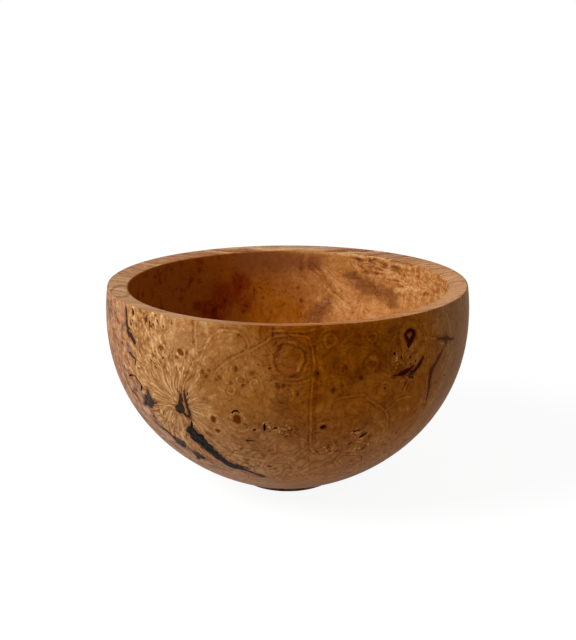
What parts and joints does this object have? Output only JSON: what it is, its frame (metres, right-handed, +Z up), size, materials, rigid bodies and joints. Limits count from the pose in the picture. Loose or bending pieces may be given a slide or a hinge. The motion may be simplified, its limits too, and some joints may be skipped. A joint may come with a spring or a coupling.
{
  "type": "wooden bowl",
  "caption": "Round-bottomed burl wood bowl turned from one block, with a sloping rim, a small foot and dark resin-filled cracks turned flush with the wood.",
  "frame": {"origin": "centre of the foot, on the surface that the bowl stands on", "axes": "+Z up along the turning axis, the long crack faces forward along -Y and to the left of it, towards -X"},
  "size_m": [0.1518, 0.1518, 0.0873],
  "materials": {
    "burl_wood": "figured burl under a thin satin oil finish",
    "dark_resin": "slate-black resin sanded flush and polished with the wood"
  },
  "bodies": {
    "root": {"bowl_body": "burl_wood", "long_crack_fill": "dark_resin", "fork_fill": "dark_resin", "wedge_fill": "dark_resin", "lower_patch_fill": "dark_resin", "small_patch_fill": "dark_resin", "left_crack_fill": "dark_resin", "knot_eye_fill": "dark_resin", "slash_fill": "dark_resin", "star_fill": "dark_resin", "right_crack_fill": "dark_resin"}
  },
  "joints": []
}
